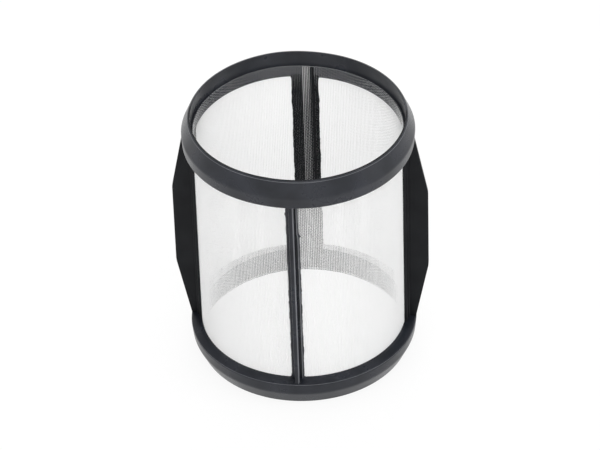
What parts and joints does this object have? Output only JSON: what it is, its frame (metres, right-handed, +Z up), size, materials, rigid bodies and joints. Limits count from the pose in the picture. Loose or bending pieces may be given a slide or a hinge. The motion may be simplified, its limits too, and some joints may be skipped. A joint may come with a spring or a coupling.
{
  "type": "dishwasher filter",
  "caption": "Cylindrical dishwasher micro filter: dark moulded frame with flared collar, tapered foot ring and side wings round a fine white woven screen, open at both ends.",
  "frame": {"origin": "centre of the foot ring on the plane it stands on", "axes": "+Z up along the tube's axis, wings along X, narrow rib towards -Y, wide rib with the screen's lap towards +Y"},
  "size_m": [0.0892, 0.0802, 0.0972],
  "materials": {
    "frame_plastic": "matte moulded polypropylene",
    "screen_nylon": "fine plain-woven nylon"
  },
  "bodies": {
    "root": {"frame": "frame_plastic", "mesh_screen": "screen_nylon"}
  },
  "joints": []
}
